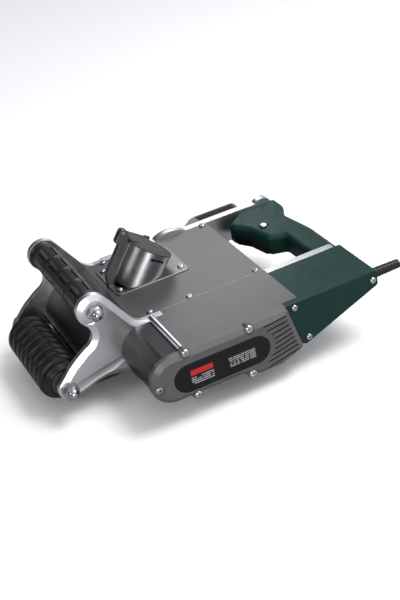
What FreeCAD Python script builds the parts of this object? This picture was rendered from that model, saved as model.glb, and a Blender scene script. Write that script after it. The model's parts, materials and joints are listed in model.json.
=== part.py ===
import FreeCAD, Part
import math
import os

# Wall chaser.  Millimetres, +Z up.  X runs across the machine: +X is the belt-drive side.
# -Y is the front (guide roller, direction of travel), +Y the rear (D-handle and cable).
# Pieces are drawn round the cutter spindle's axis, midway between the two side frames, and
# written out with the origin at the bottom centre of the whole tool's box.

V = FreeCAD.Vector

# ---- driving dimensions ---------------------------------------------------------------
FRAME_IN = 82.5          # half the gap between the two side frames
FRAME_T = 10.5           # thickness of a side frame
FRAME_OUT = FRAME_IN + FRAME_T
TOP_Z = 50.6             # top surface of the body
SHEET = 2.6              # thickness of plates and covers
UNDER_Z = TOP_Z - SHEET  # underside of the top plates
FLOOR_Z = -12.6          # bottom of the body
BODY_REAR = 187.0        # rear edge of the top plate
RAIL_REAR = 289.0        # rear end of the side rails
FIT = 0.05               # radial clearance of a running or located fit

GRIP_Y, GRIP_Z, GRIP_R = -44.4, 90.2, 17.6
GRIP_BOSS_R = 21.0
ROLLER_Y, ROLLER_Z, ROLLER_R = -95.7, -2.5, 29.0
ROLLER_BOSS_R = 14.0
CROOK_Y, CROOK_Z, CROOK_R = -70.1, 60.4, 18.0
ARM_ROOT = 30.0          # where the front arm runs into the body of the side frame
ARM_BEVEL_DEPTH, ARM_BEVEL_WIDTH = 3.4, 7.5

MODULE = 1.0
SPINDLE_TEETH, PINION_TEETH = 27, 14
PRESSURE_ANGLE = math.radians(20)
BACKLASH = 0.12
LAYSHAFT_ANGLE = math.radians(68)
GEAR_CENTRES = MODULE * (SPINDLE_TEETH + PINION_TEETH) / 2
LAY_Y = GEAR_CENTRES * math.cos(LAYSHAFT_ANGLE)
LAY_Z = GEAR_CENTRES * math.sin(LAYSHAFT_ANGLE)
MOTOR_Y, MOTOR_Z = 132.0, 14.3
BULGE_R = 43.0           # round boss of the left frame that carries the motor cap
MOTOR_PULLEY_R, LAY_PULLEY_R = 11.0, 22.0     # two-to-one belt reduction
BELT_T, BELT_GAP = 2.2, 0.15

GEAR_X0, GEAR_X1 = 95.0, 105.0          # face width of the gear pair
PULLEY_X0, PULLEY_X1 = 110.0, 124.0     # belt plane
LAY_BEARING_X = 127.0                   # inner face of the outer layshaft bearing
CASE_OUT = 177.6                        # joint between gear casing and side cover
COVER_OUT = 187.8                       # outer face of the side cover
CASE_R = 31.6                           # front radius of the side cover
CASE_STEP = 1.7                         # how far the casing is set in from the cover
REAR_SEAM_X = 137.5                     # split between the halves of the rear housing

DRUM_X0, DRUM_X1 = -35.0, 5.0
DRUM_R, CUT_R = 36.0, 44.0
GUARD_Y, GUARD_Z, GUARD_R = -6.6, -4.4, 56.0

SPOUT_X, SPOUT_Y, SPOUT_R = -16.5, 51.7, 31.0
SPOUT_LEAN = math.radians(36)
SPOUT_LENGTH = 41.8
SPOUT_WALL = 2.6
FLANGE = (-62.7, 16.6, 11.0, 114.4)     # x0, x1, y0, y1
FLANGE_TOP = TOP_Z + 1.6
BORE_R = SPOUT_R - SPOUT_WALL

BOOT_X, BOOT_Z, BOOT_R = 163.5, 38.0, 6.6
BOOT_Y0, BOOT_Y1 = 295.0, 335.0
AIR_BOX_X = -111.8      # outer wall of the left air box
LABEL_T = 0.7
HANDLE_Z0, HANDLE_Z1 = 15.5, 47.4
HANDLE_SPLIT = 28.2
HANDLE_ROUND = 8.0


# ---- helpers --------------------------------------------------------------------------
def box(x0, x1, y0, y1, z0, z1):
    return Part.makeBox(x1 - x0, y1 - y0, z1 - z0, V(x0, y0, z0))


def rod_x(y, z, r, x0, x1):
    return Part.makeCylinder(r, x1 - x0, V(x0, y, z), V(1, 0, 0))


def ring_x(y, z, r_out, r_in, x0, x1):
    return rod_x(y, z, r_out, x0, x1).cut(rod_x(y, z, r_in, x0 - 1, x1 + 1))


def rod_z(x, y, r, z0, z1):
    return Part.makeCylinder(r, z1 - z0, V(x, y, z0), V(0, 0, 1))


def cut_all(shape, tools):
    for tool in tools:
        shape = shape.cut(tool)
    return shape


def fuse_all(shapes):
    whole = shapes[0]
    for shape in shapes[1:]:
        whole = whole.fuse(shape)
    return whole.removeSplitter()


def group(shapes):
    return Part.makeCompound(shapes)


def mirror_x(shape):
    return shape.mirror(V(0, 0, 0), V(1, 0, 0))


def outline(pieces, place):
    """Closed face from points (a, b), rounded corners (a, b, r) and arcs (a, b, r, deg0, deg1)."""
    def end_of(piece, which):
        if len(piece) == 5:
            angle = math.radians(piece[3 + which])
            return piece[0] + piece[2] * math.cos(angle), piece[1] + piece[2] * math.sin(angle)
        return piece[0], piece[1]

    runs = []
    for i, piece in enumerate(pieces):
        if len(piece) == 5:
            middle = math.radians((piece[3] + piece[4]) / 2)
            mid = (piece[0] + piece[2] * math.cos(middle), piece[1] + piece[2] * math.sin(middle))
            runs.append((end_of(piece, 0), mid, end_of(piece, 1)))
        elif len(piece) == 3:
            before = end_of(pieces[i - 1], 1)
            after = end_of(pieces[(i + 1) % len(pieces)], 0)
            runs.append(corner_arc(piece, before, after))
        else:
            runs.append((piece, None, piece))
    edges = []
    for i, (start, mid, stop) in enumerate(runs):
        if mid:
            edges.append(Part.Arc(place(*start), place(*mid), place(*stop)).toShape())
        following = runs[(i + 1) % len(runs)][0]
        if math.dist(stop, following) > 1e-4:
            edges.append(Part.makeLine(place(*stop), place(*following)))
    return Part.Face(Part.Wire(edges))


def corner_arc(corner, before, after):
    """Start, middle and end of the arc that rounds a corner of an outline."""
    a, b, r = corner
    to_before = V(before[0] - a, before[1] - b, 0).normalize()
    to_after = V(after[0] - a, after[1] - b, 0).normalize()
    half = to_before.getAngle(to_after) / 2
    back = r / math.tan(half)
    inward = (to_before + to_after).normalize()
    apex = V(a, b, 0)
    mid = apex + inward * (r / math.sin(half) - r)
    start = apex + to_before * back
    stop = apex + to_after * back
    return (start.x, start.y), (mid.x, mid.y), (stop.x, stop.y)


def slab_x(pieces, x0, x1):
    return outline(pieces, lambda y, z: V(x0, y, z)).extrude(V(x1 - x0, 0, 0))


def slab_z(pieces, z0, z1):
    return outline(pieces, lambda x, y: V(x, y, z0)).extrude(V(0, 0, z1 - z0))


def bevelled_x(pieces_of, steps):
    """Solid through sections along X: each step is (x, inset) and pieces_of(inset) its outline."""
    wires = [outline(pieces_of(inset), lambda y, z, x=x: V(x, y, z)).OuterWire for x, inset in steps]
    return Part.makeLoft(wires, True, True)


def bevelled_z(pieces_of, steps):
    """Solid through sections along Z: each step is (z, inset) and pieces_of(inset) its outline."""
    wires = [outline(pieces_of(inset), lambda x, y, z=z: V(x, y, z)).OuterWire for z, inset in steps]
    return Part.makeLoft(wires, True, True)


def round_over(at, towards, radius, count):
    """Steps (position, inset) of a rounded edge whose flat face lies at the given position."""
    steps = []
    for i in range(count + 1):
        angle = math.pi / 2 * i / count
        steps.append((at + math.copysign(radius * (1 - math.sin(angle)), towards - at),
                      radius * (1 - math.cos(angle))))
    return steps


def edges_at(shape, axis, value):
    """Edges that lie wholly in the plane axis = value."""
    low, high = axis + "Min", axis + "Max"
    return [e for e in shape.Edges
            if abs(getattr(e.BoundBox, low) - value) < 1e-3 and abs(getattr(e.BoundBox, high) - value) < 1e-3]


def turn_x(profile, y, z):
    """Solid of revolution about the X-direction axis through (y, z) from (x, r) points."""
    points = [V(x, y, z + r) for x, r in profile]
    points.append(points[0])
    face = Part.Face(Part.makePolygon(points))
    return face.revolve(V(0, y, z), V(1, 0, 0), 360)


def aim(shape, direction, position):
    """Place a shape built along +Z so that +Z points along direction at position."""
    turned = shape.copy()
    turned.Placement = FreeCAD.Placement(V(*position), FreeCAD.Rotation(V(0, 0, 1), V(*direction)))
    return turned


def screw(position, direction, head_r, shank_r, shank):
    """Pan-head cross-recess screw; position is the seat, direction points out of the head."""
    height = head_r * 0.62
    head = Part.makeCylinder(head_r, height)
    head = head.makeFillet(height * 0.8, edges_at(head, "Z", height))
    slot = head_r * 0.24
    reach, depth = head_r * 0.55, height * 0.45
    bar = box(-reach, reach, -slot / 2, slot / 2, depth, height + 1)
    cross_bar = box(-slot / 2, slot / 2, -reach, reach, depth, height + 1)
    head = head.cut(bar).cut(cross_bar)
    body = head.fuse(Part.makeCylinder(shank_r, shank, V(0, 0, -shank)))
    return aim(body, direction, position)


def drill(shape, points, direction, radius, depth):
    """Clearance holes for screws seated at points."""
    holes = []
    for point in points:
        hole = Part.makeCylinder(radius, depth + 2, V(0, 0, -depth))
        holes.append(aim(hole, direction, point))
    return cut_all(shape, holes)


# ---- screw places ---------------------------------------------------------------------
PLATE_SCREWS = [(-78.0, 29.0, TOP_Z), (-78.0, 178.3, TOP_Z), (77.0, 178.3, TOP_Z),
                (77.0, 83.6, TOP_Z), (77.0, 29.0, TOP_Z)]
FLANGE_SCREWS = [(x, y, FLANGE_TOP) for x in (-54.0, 4.6) for y in (19.4, 106.4)]
TUBE_X0 = FRAME_OUT - 4.0
TUBE_Y, TUBE_Z, TUBE_R = 25.3, TOP_Z - 1.5, 4.4
COVER_SEAT = COVER_OUT - 3.0
COVER_SCREWS = [(COVER_SEAT, y, z) for y, z in
                ((TUBE_Y, TUBE_Z), (109.8, 46.6), (-14.6, 13.9), (32.1, -13.6), (105.9, -16.0))]
REAR_SCREWS = [(CASE_OUT, 176.4, 44.6), (CASE_OUT, 191.0, -3.4), (CASE_OUT, 288.0, 38.5)]
SCREW_R, SHANK_R, SHANK = 4.3, 1.9, 7.0
COVER_SCREW_R, COVER_SHANK_R, COVER_SHANK = 5.6, 2.4, 14.0


# ---- side frames ----------------------------------------------------------------------
def arm_pieces():
    """Front arm of a side frame, from the foot of its rear edge round to its lower root."""
    boss_to_crook = math.degrees(math.atan2(CROOK_Z - GRIP_Z, CROOK_Y - GRIP_Y)) % 360
    return [(7.2, TOP_Z, 22.0),
            (GRIP_Y, GRIP_Z, GRIP_BOSS_R, 33.2, boss_to_crook),
            (CROOK_Y, CROOK_Z, CROOK_R, boss_to_crook - 180, -56.0),
            (-66.0, 42.6, 60.0),
            (-86.0, 28.0, 60.0),
            (ROLLER_Y, ROLLER_Z, ROLLER_BOSS_R, 142.0, 284.0),
            (-69.3, -10.6, 40.0),
            (-42.0, -3.2, 60.0),
            (-15.0, FLOOR_Z, 20.0)]


def frame_pieces(panel_seat):
    """Outline of a side frame; panel_seat is how far its top is cut down under the panel."""
    body = [(98.0, FLOOR_Z, 30.0), (118.0, -20.9, 30.0), (147.0, -20.9, 25.0), (178.4, -7.2, 10.0),
            (BODY_REAR + 6, 10.0, 12.0), (RAIL_REAR - 12, 10.0), (RAIL_REAR - 12, 26.0, 4.0),
            (RAIL_REAR, 26.0, 3.0), (RAIL_REAR, TOP_Z, 8.0)]
    if panel_seat:
        body += [(BODY_REAR, TOP_Z), (BODY_REAR, TOP_Z - panel_seat),
                 (40.0, TOP_Z - panel_seat), (40.0, TOP_Z)]
    return arm_pieces() + body


def side_frame(panel_seat):
    body = slab_x(frame_pieces(panel_seat), FRAME_IN, FRAME_OUT)
    body = body.cut(box(0, 200, -200, ARM_ROOT, -200, 200))
    arm = slab_x(arm_pieces() + [(ARM_ROOT, FLOOR_Z), (ARM_ROOT, TOP_Z)], FRAME_IN, FRAME_OUT)
    rim = [e for e in edges_at(arm, "X", FRAME_OUT) if e.BoundBox.YMax < ARM_ROOT - 1]
    arm = arm.makeChamfer(ARM_BEVEL_DEPTH, ARM_BEVEL_WIDTH, rim).cut(arm_scoop())
    pads = [rod_x(y, z, 12.0, FRAME_IN, FRAME_OUT) for y, z in ((GRIP_Y, GRIP_Z), (ROLLER_Y, ROLLER_Z))]
    plate = fuse_all([body, arm] + pads)
    holes = [rod_x(GRIP_Y, GRIP_Z, 5 + FIT, 0, 200), rod_x(ROLLER_Y, ROLLER_Z, 5 + FIT, 0, 200)]
    return cut_all(plate, holes)


def arm_scoop():
    """Shallow valley along the lower branch of the arm, fading out towards the body."""
    radius, depth = 20.0, 3.6
    start = V(FRAME_OUT + radius - depth, -108.0, -14.0)
    stop = V(FRAME_OUT + radius + 0.5, 2.0, 20.0)
    return Part.makeCylinder(radius, (stop - start).Length, start, stop - start)


def screw_lugs(side):
    """Cast lugs inside a frame that take the top plate's screws, drawn on the +X side."""
    lugs = []
    for x, y, _ in PLATE_SCREWS:
        if x * side > 0:
            lug = box(FRAME_IN - 12.0, FRAME_IN + 1.0, y - 5, y + 5, UNDER_Z - 5.5, UNDER_Z)
            lugs.append(lug.cut(rod_z(abs(x), y, SHANK_R + FIT, UNDER_Z - 8, UNDER_Z + 1)))
    return lugs


def right_frame():
    plate = fuse_all([side_frame(SHEET)] + screw_lugs(1))
    return cut_all(plate, [
        rod_x(0, 0, 12 + FIT, 0, 88.5),
        rod_x(0, 0, 7.5, 80, 100),
        rod_x(LAY_Y, LAY_Z, 8 + FIT, 88, 100),
        rod_x(MOTOR_Y, MOTOR_Z, 13 + FIT, 0, 91.5),
        rod_x(MOTOR_Y, MOTOR_Z, 8, 80, 100),
        tube_groove()])


def left_frame():
    bulge = rod_x(MOTOR_Y, MOTOR_Z, BULGE_R, FRAME_IN, FRAME_OUT)
    bulge = bulge.makeFillet(2.5, edges_at(bulge, "X", FRAME_OUT))
    lobe = rod_x(RAIL_REAR - 14, TOP_Z - 10, 15.0, FRAME_IN, FRAME_OUT)
    plate = fuse_all([side_frame(0), bulge, lobe] + screw_lugs(-1))
    plate = plate.cut(rod_x(0, 0, 12 + FIT, 0, 88.5))
    plate = plate.cut(rod_x(MOTOR_Y, MOTOR_Z, 34 + FIT, 0, 200))
    return mirror_x(plate)


# ---- body plates ----------------------------------------------------------------------
def spout_axis(distance):
    return (SPOUT_X, SPOUT_Y + distance * math.sin(SPOUT_LEAN), TOP_Z + distance * math.cos(SPOUT_LEAN))


def spout_rod(radius, start, stop):
    """Cylinder on the dust spout's leaning axis, between two distances from the top plane."""
    direction = V(0, math.sin(SPOUT_LEAN), math.cos(SPOUT_LEAN))
    return Part.makeCylinder(radius, stop - start, V(*spout_axis(start)), direction)


def top_plate():
    plate = box(-FRAME_IN, FRAME_IN - 0.4, 4.0, BODY_REAR, UNDER_Z, TOP_Z)
    plate = plate.makeChamfer(0.6, edges_at(plate, "Z", TOP_Z))
    plate = plate.cut(spout_rod(BORE_R + 1.0, -30, 30))
    plate = drill(plate, PLATE_SCREWS, (0, 0, 1), SHANK_R + FIT, SHANK)
    return drill(plate, FLANGE_SCREWS, (0, 0, 1), SHANK_R + FIT, 12)


def right_top_panel():
    panel = box(FRAME_IN, CASE_OUT, 40.0, BODY_REAR, UNDER_Z, TOP_Z)
    front = box(FRAME_OUT, CASE_OUT, TUBE_Y, 41.0, UNDER_Z, TOP_Z)
    notch = box(167.0, CASE_OUT + 1, 165.0, BODY_REAR + 1, 40, 60)
    panel = cut_all(fuse_all([panel, front]), [notch, tube_groove()])
    return drill(panel, COVER_SCREWS, (1, 0, 0), COVER_SHANK_R + FIT, COVER_SHANK)


def guard_sheet(r_out, r_in, start, stop, x0, x1):
    middle = (start + stop) / 2

    def arc(radius, a0, a1):
        points = []
        for angle in (a0, middle, a1):
            turn = math.radians(angle)
            points.append(V(x0, GUARD_Y + radius * math.cos(turn), GUARD_Z + radius * math.sin(turn)))
        return Part.Arc(*points).toShape()

    outer, inner = arc(r_out, start, stop), arc(r_in, stop, start)
    first = Part.makeLine(outer.Vertexes[-1].Point, inner.Vertexes[0].Point)
    last = Part.makeLine(inner.Vertexes[-1].Point, outer.Vertexes[0].Point)
    return Part.Face(Part.Wire([outer, first, inner, last])).extrude(V(x1 - x0, 0, 0))


def cutter_guard():
    start = math.degrees(math.asin((TOP_Z - GUARD_Z) / GUARD_R))
    sheet = guard_sheet(GUARD_R, GUARD_R - 2.5, start, 189.0, -FRAME_IN, FRAME_IN)
    return sheet.cut(box(-FRAME_IN, FRAME_IN, 4.0, 30, 40, 60)).cut(box(-99, 99, -80, 0, -60, FLOOR_Z))


def guard_lip():
    return guard_sheet(GUARD_R + 2.4, GUARD_R, 168.0, 177.0, -FRAME_IN, FRAME_IN)


def chute_wall():
    rise = UNDER_Z - FLOOR_Z
    run = rise * math.tan(SPOUT_LEAN)
    y0 = 49.0
    return slab_x([(y0, FLOOR_Z), (y0 + 3, FLOOR_Z), (y0 + 3 + run, UNDER_Z), (y0 + run, UNDER_Z)],
                  -FRAME_IN, FRAME_IN)


def sole_plate():
    plate = box(-FRAME_IN, FRAME_IN, -61.0, 62.0, FLOOR_Z - SHEET, FLOOR_Z)
    plate = plate.makeFillet(1.2, edges_at(plate, "Z", FLOOR_Z - SHEET))
    return plate.cut(box(DRUM_X0 - 7, DRUM_X1 + 7, -48.0, 47.0, -30, 0))


def motor_pan():
    """Bottom and rear wall of the motor bay, with a round belly under the stator."""
    belly = math.degrees(math.asin((MOTOR_Z - FLOOR_Z) / 35.6))
    outside = slab_x([(62.0, FLOOR_Z - SHEET), (MOTOR_Y, MOTOR_Z, 35.6, 180 + belly + 4, 360 - belly - 4),
                      (BODY_REAR, FLOOR_Z - SHEET, 8.0), (BODY_REAR, UNDER_Z), (62.0, UNDER_Z)],
                     -FRAME_IN, FRAME_IN)
    inside = slab_x([(52.0, FLOOR_Z), (MOTOR_Y, MOTOR_Z, 33.0, 180 + belly + 4, 360 - belly - 4),
                     (BODY_REAR - SHEET, FLOOR_Z, 6.0), (BODY_REAR - SHEET, 60.0), (52.0, 60.0)],
                    -FRAME_IN - 1, FRAME_IN + 1)
    return outside.cut(inside)


# ---- belt side ------------------------------------------------------------------------
def cover_pieces(inset):
    """Outline of the side cover: half-round front, flat bottom, lobe below the fan, slanted rear."""
    return [(LAY_Y, LAY_Z, CASE_R - inset, 90.0, 270.0),
            (93.0, FLOOR_Z + inset, 30.0),
            (116.0, -21.3 + inset, 25.0),
            (146.0, -21.3 + inset, 25.0),
            (179.6 - inset, -10.4 + inset * 0.6, 6.0),
            (163.9 - inset, TOP_Z - inset, 2.0 if inset < 1 else 1.0)]


def casing_volume(inset):
    """Space of the belt casing: the cover outline, fuller round the gears next to the frame."""
    band = slab_x(cover_pieces(CASE_STEP + inset), FRAME_OUT, CASE_OUT)
    full_y, full_z, full_r = 17.6, 8.8, 36.8
    drum = rod_x(full_y, full_z, full_r - inset, FRAME_OUT, 108.0)
    narrow = Part.Wire(Part.makeCircle(CASE_R - CASE_STEP - inset - 0.6, V(160.0, LAY_Y, LAY_Z), V(1, 0, 0)))
    wide = Part.Wire(Part.makeCircle(full_r - inset, V(108.0, full_y, full_z), V(1, 0, 0)))
    taper = Part.makeLoft([wide, narrow], True, True)
    return fuse_all([band, drum, taper]).common(box(FRAME_OUT, CASE_OUT, -80, 200, -60, UNDER_Z))


def gear_casing():
    shell = casing_volume(0).cut(casing_volume(2.1))
    shell = shell.cut(box(0, 300, 21.0, 300, UNDER_Z - 2, 80))
    shell = shell.cut(tube_groove())
    shell = drill(shell, COVER_SCREWS, (1, 0, 0), COVER_SHANK_R + FIT, COVER_SHANK)
    shell = shell.cut(box(160, 300, 163.0, 300, -60, 80))
    return fuse_all([shell, bearing_web()])


def bearing_web():
    """Web across the belt casing that carries the outer layshaft bearing."""
    x0, x1 = LAY_BEARING_X, LAY_BEARING_X + 6.0
    web = box(x0, x1, LAY_Y - 6, LAY_Y + 6, LAY_Z - 29, LAY_Z + 29)
    web = web.fuse(rod_x(LAY_Y, LAY_Z, 12.0, x0, x1)).common(casing_volume(1.0))
    bearing_seat = rod_x(LAY_Y, LAY_Z, 8 + FIT, x0 - 1, x0 + 5)
    shaft_hole = rod_x(LAY_Y, LAY_Z, 5.0, x0 - 1, x1 + 1)
    return cut_all(web, [bearing_seat, shaft_hole])


def edge_tube():
    """Polished tube along the casing's front edge; the top front cover screw threads into it."""
    return ring_x(TUBE_Y, TUBE_Z, TUBE_R, 2.6, TUBE_X0, COVER_SEAT)


def tube_groove():
    return rod_x(TUBE_Y, TUBE_Z, TUBE_R + FIT, TUBE_X0, 200)


def cover_ears():
    return [rod_x(y, z, 6.4, CASE_OUT, x) for x, y, z in COVER_SCREWS]


def vent_slots():
    """Nine slots that start round the end of the rating plate and fan out to the rear edge."""
    slots = []
    count = 9
    label_y, label_z, clear = 115.0, 15.4, 25.5
    for i in range(count):
        z0 = 42.0 - 7.2 * i
        z1 = 44.6 - 6.4 * i
        half = math.sqrt(max(clear ** 2 - (z0 - label_z) ** 2, 13.0 ** 2))
        y0 = label_y + half
        y1 = 160.5 + 1.45 * i
        length = math.hypot(y1 - y0, z1 - z0)
        slot = box(0, 30, 0, length, -1.1, 1.1)
        slot.rotate(V(0, 0, 0), V(1, 0, 0), math.degrees(math.atan2(z1 - z0, y1 - y0)))
        slot.translate(V(CASE_OUT - 5, y0, z0))
        slots.append(slot)
    return slots


def side_cover():
    plate = bevelled_x(cover_pieces, [(CASE_OUT, 0), (COVER_OUT - 4.6, 0), (COVER_OUT, 6.4)])
    plate = fuse_all([plate] + cover_ears())
    hollow = slab_x(cover_pieces(CASE_STEP + 6.0), CASE_OUT - 1, COVER_OUT - 4.0)
    heads = [rod_x(y, z, COVER_SCREW_R + 0.2, x, x + 10) for x, y, z in COVER_SCREWS]
    plate = cut_all(plate, [hollow, tube_groove()] + heads + vent_slots())
    return drill(plate, COVER_SCREWS, (1, 0, 0), COVER_SHANK_R + FIT, COVER_SHANK)


def rating_plate():
    half = 19.2
    y0, y1, z = 4.4 + half, 133.1 - half, 15.4
    plate = slab_x([(y0, z, half, 90, 270), (y1, z, half, -90, 90)], COVER_OUT, COVER_OUT + LABEL_T)
    return plate.makeChamfer(0.3, edges_at(plate, "X", COVER_OUT + LABEL_T))


# ---- drive train ----------------------------------------------------------------------
def involute_point(base, radius, offset, side):
    roll = math.sqrt(max((radius / base) ** 2 - 1, 0))
    angle = offset - side * (roll - math.atan(roll))
    return radius, angle


def gear_blank(teeth, x0, x1, y, z, phase):
    """Spur gear with involute flanks; phase is the angle of one tooth's centre."""
    pitch_r = MODULE * teeth / 2
    base_r = pitch_r * math.cos(PRESSURE_ANGLE)
    tip_r, root_r = pitch_r + MODULE, pitch_r - 1.25 * MODULE
    involute = math.tan(PRESSURE_ANGLE) - PRESSURE_ANGLE
    half_tooth = math.pi / (2 * teeth) - BACKLASH / (2 * pitch_r) + involute
    steps = 5
    low = max(base_r, root_r)
    radii = [low + (tip_r - low) * i / (steps - 1) for i in range(steps)]
    points = []
    for tooth in range(teeth):
        centre = phase + tooth * 2 * math.pi / teeth
        rising = [involute_point(base_r, r, -half_tooth, -1) for r in radii]
        falling = [involute_point(base_r, r, half_tooth, 1) for r in reversed(radii)]
        flank = [(root_r, rising[0][1])] + rising + falling + [(root_r, falling[-1][1])]
        for radius, angle in flank:
            turn = centre + angle
            points.append(V(x0, y + radius * math.cos(turn), z + radius * math.sin(turn)))
    points.append(points[0])
    return Part.Face(Part.makePolygon(points)).extrude(V(x1 - x0, 0, 0))


def spindle_gear():
    gear = gear_blank(SPINDLE_TEETH, GEAR_X0, GEAR_X1, 0, 0, LAYSHAFT_ANGLE)
    return gear.cut(rod_x(0, 0, 6 + FIT, GEAR_X0 - 1, GEAR_X1 + 1))


def layshaft_pinion():
    phase = LAYSHAFT_ANGLE + math.pi + math.pi / PINION_TEETH
    gear = gear_blank(PINION_TEETH, GEAR_X0, GEAR_X1, LAY_Y, LAY_Z, phase)
    return gear.cut(rod_x(LAY_Y, LAY_Z, 4 + FIT, GEAR_X0 - 1, GEAR_X1 + 1))


def cutter_spindle():
    spindle = turn_x([(-88.2, 0), (-88.2, 6), (-81.5, 6), (-81.5, 9), (DRUM_X1 + 4, 9), (DRUM_X1 + 4, 8),
                      (81.5, 8), (81.5, 6), (107.0, 6), (107.0, 0)], 0, 0)
    return spindle


def sealed_bearing(y, z, r_out, r_in, x0, x1):
    ring = ring_x(y, z, r_out, r_in + FIT, x0, x1)
    mid, half = (r_out + r_in) / 2, (r_out - r_in) * 0.22
    for face_x, depth in ((x0, 0.5), (x1, -0.5)):
        ends = sorted((face_x - depth, face_x + depth))
        ring = ring.cut(ring_x(y, z, mid + half, mid - half, *ends))
    return ring


def spindle_bearings():
    return group([sealed_bearing(0, 0, 12, 6, 82.5, 88.5), sealed_bearing(0, 0, 12, 6, -88.5, -82.5)])


def layshaft_bearings():
    return group([sealed_bearing(LAY_Y, LAY_Z, 8, 4, 88.0, 93.0),
                  sealed_bearing(LAY_Y, LAY_Z, 8, 4, LAY_BEARING_X, LAY_BEARING_X + 5)])


def motor_bearings():
    return group([sealed_bearing(MOTOR_Y, MOTOR_Z, 13, 5, 83.5, 91.5),
                  sealed_bearing(MOTOR_Y, MOTOR_Z, 11, 4, -96.0, -89.0)])


def cutter_drum():
    drum = rod_x(0, 0, DRUM_R, DRUM_X0, DRUM_X1)
    drum = drum.makeChamfer(2.0, edges_at(drum, "X", DRUM_X0) + edges_at(drum, "X", DRUM_X1))
    drum = drum.cut(rod_x(0, 0, 9 + FIT, -60, 60))
    return drum.cut(group(tooth_shapes()))


ROWS, TEETH_PER_ROW = 4, 8


def tooth_shapes():
    """Carbide teeth in staggered rows; each is a wedge set in a pocket of the drum."""
    teeth = []
    pitch = (DRUM_X1 - DRUM_X0) / ROWS
    for row in range(ROWS):
        x = DRUM_X0 + pitch * (row + 0.5)
        for i in range(TEETH_PER_ROW):
            turn = 360.0 / TEETH_PER_ROW * (i + row / ROWS)
            tooth = slab_x([(DRUM_R - 7, -3.4), (CUT_R - 3, -3.4), (CUT_R, 3.0), (DRUM_R - 7, 3.4)],
                           x - pitch * 0.36, x + pitch * 0.36)
            tooth.rotate(V(0, 0, 0), V(1, 0, 0), turn)
            teeth.append(tooth)
    return teeth


def cutter_teeth():
    return group(tooth_shapes())


def drum_spacers():
    long_sleeve = ring_x(0, 0, 11.6, 9 + FIT, -81.4, DRUM_X0)
    short_sleeve = ring_x(0, 0, 11.6, 8 + FIT, DRUM_X1 + 14, 81.4)
    return group([long_sleeve, short_sleeve])


def drum_nut():
    corner = 12.4
    turns = [math.radians(60 * i) for i in range(6)]
    points = [(corner * math.cos(turn), corner * math.sin(turn)) for turn in turns]
    nut = slab_x(points, DRUM_X1, DRUM_X1 + 13.9)
    return nut.cut(rod_x(0, 0, 9 + FIT, 0, DRUM_X1 + 4.0)).cut(rod_x(0, 0, 8 + FIT, 0, 60))


def layshaft():
    return turn_x([(88.3, 0), (88.3, 4), (94.2, 4), (125.0, 4), (131.8, 4), (131.8, 0)], LAY_Y, LAY_Z)


def pulley(y, z, radius, bore):
    """Belt pulley with side flanges and shallow grooves across the belt track."""
    body = rod_x(y, z, radius, PULLEY_X0, PULLEY_X1)
    grooves = []
    count = int(radius * 1.1)
    for i in range(count):
        turn = 2 * math.pi * i / count
        grooves.append(rod_x(y + radius * math.cos(turn), z + radius * math.sin(turn), 0.9,
                             PULLEY_X0 - 1, PULLEY_X1 + 1))
    body = body.cut(grooves[0].multiFuse(grooves[1:]))
    rims = [rod_x(y, z, radius + 1.4, x, x + 1.2) for x in (PULLEY_X0 - 1.2, PULLEY_X1)]
    return fuse_all([body] + rims).cut(rod_x(y, z, bore + FIT, 90, 150))


def layshaft_pulley():
    return pulley(LAY_Y, LAY_Z, LAY_PULLEY_R, 4.0)


def motor_pulley():
    return pulley(MOTOR_Y, MOTOR_Z, MOTOR_PULLEY_R, 5.0)


def belt_loop(extra, x0, x1):
    """Solid bounded by the tangent loop round both pulleys, extra outside their radii."""
    reach = math.hypot(MOTOR_Y - LAY_Y, MOTOR_Z - LAY_Z)
    tilt = math.degrees(math.atan2(MOTOR_Z - LAY_Z, MOTOR_Y - LAY_Y))
    wrap = math.degrees(math.acos((LAY_PULLEY_R - MOTOR_PULLEY_R) / reach))
    return slab_x([(LAY_Y, LAY_Z, LAY_PULLEY_R + extra, tilt + wrap, tilt + 360 - wrap),
                   (MOTOR_Y, MOTOR_Z, MOTOR_PULLEY_R + extra, tilt - wrap, tilt + wrap)], x0, x1)


def drive_belt():
    x0, x1 = PULLEY_X0 + 1.0, PULLEY_X1 - 1.0
    return belt_loop(BELT_GAP + BELT_T, x0, x1).cut(belt_loop(BELT_GAP, x0 - 1, x1 + 1))


def armature_shaft():
    return turn_x([(-96.5, 0), (-96.5, 4), (-88.5, 4), (-88.5, 5), (150.0, 5), (150.0, 0)], MOTOR_Y, MOTOR_Z)


CORE_X0, CORE_X1 = -32.0, 24.0


def armature_core():
    core = rod_x(MOTOR_Y, MOTOR_Z, 16.8, CORE_X0, CORE_X1)
    slots = []
    count = 12
    for i in range(count):
        slot = box(CORE_X0 - 1, CORE_X1 + 1, -1.1, 1.1, 9.5, 20)
        slot.rotate(V(0, 0, 0), V(1, 0, 0), 360.0 / count * i)
        slot.translate(V(0, MOTOR_Y, MOTOR_Z))
        slots.append(slot)
    return cut_all(core, slots + [rod_x(MOTOR_Y, MOTOR_Z, 5 + FIT, -99, 99)])


def commutator():
    body = ring_x(MOTOR_Y, MOTOR_Z, 11.0, 5 + FIT, -64.0, -46.0)
    count = 24
    for i in range(count):
        slot = box(-65, -45, -0.25, 0.25, 9.8, 12)
        slot.rotate(V(0, 0, 0), V(1, 0, 0), 360.0 / count * i)
        slot.translate(V(0, MOTOR_Y, MOTOR_Z))
        body = body.cut(slot)
    return body


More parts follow.
